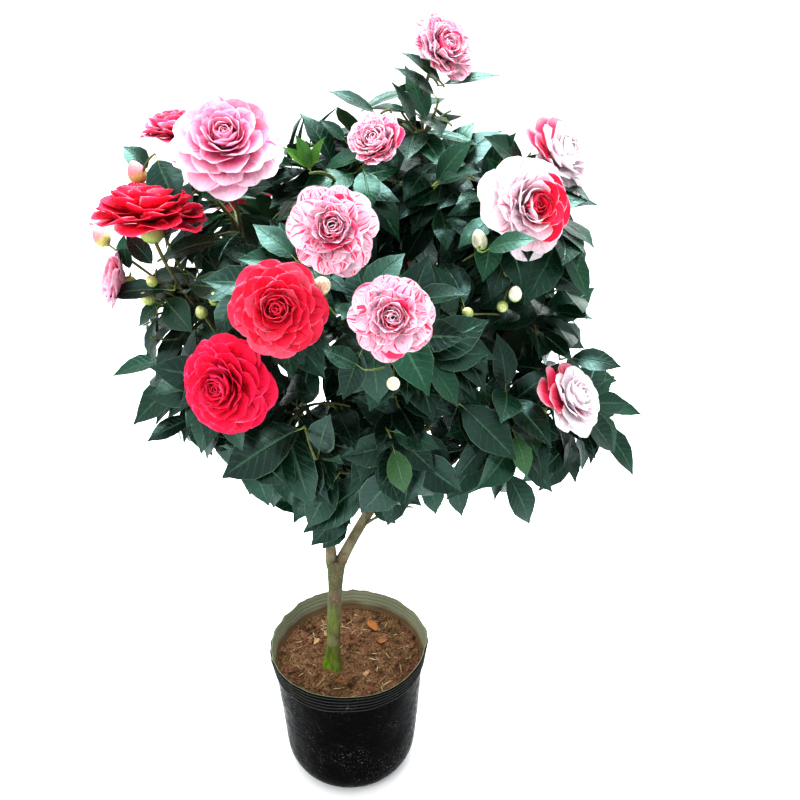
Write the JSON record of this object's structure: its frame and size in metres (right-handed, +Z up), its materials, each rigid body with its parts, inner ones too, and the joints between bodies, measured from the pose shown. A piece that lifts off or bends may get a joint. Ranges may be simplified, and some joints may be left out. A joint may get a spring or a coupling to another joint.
{
  "type": "potted flowering shrub",
  "caption": "Camellia grown as a small standard in a round nursery pot: forked trunk, a full rounded crown of glossy leaves, with double blooms and buds.",
  "frame": {"origin": "centre of the pot's flat underside", "axes": "+Z up along the pot's axis, -Y towards the shrub's front, +X to the right seen from the front"},
  "size_m": [0.6181, 0.5553, 1.0224],
  "materials": {
    "pot_plastic": "thin soft black plastic, dusty and a little scuffed",
    "potting_soil": "crumbly reddish brown soil with bits of straw and bark",
    "bark": "grey-brown bark with fine cracks and green algae near the foot",
    "foliage": "glossy dark green leaves, with pink, red and white petals"
  },
  "bodies": {
    "root": {"pot": "pot_plastic", "soil": "potting_soil", "trunk": "bark", "limb_left": "bark", "limb_right": "bark", "leader": "bark", "bough_upper_centre": "bark", "bough_upper_left": "bark", "bough_left": "bark", "bough_centre_left": "bark", "bough_front_left": "bark", "bough_lower_left": "bark", "bough_low_front_left": "bark", "bough_centre_front": "bark", "bough_upper_right": "bark", "bough_upper_mid": "bark", "bough_right": "bark", "bough_lower_right": "bark", "bough_low_right": "bark", "bough_low_front": "bark", "bough_low_centre": "bark", "bough_back_left": "bark", "bough_back_right": "bark", "bough_back_top": "bark", "bough_back_low": "bark", "leaves_top": "foliage", "leaves_upper_centre": "foliage", "leaves_upper_left": "foliage", "leaves_left": "foliage", "leaves_centre_left": "foliage", "leaves_front_left": "foliage", "leaves_lower_left": "foliage", "leaves_low_front_left": "foliage", "leaves_centre_front": "foliage", "leaves_upper_right": "foliage", "leaves_upper_mid": "foliage", "leaves_right": "foliage", "leaves_lower_right": "foliage", "leaves_low_right": "foliage", "leaves_low_front": "foliage", "leaves_low_centre": "foliage", "leaves_back_left": "foliage", "leaves_back_right": "foliage", "leaves_back_top": "foliage", "leaves_back_low": "foliage"}
  },
  "joints": []
}
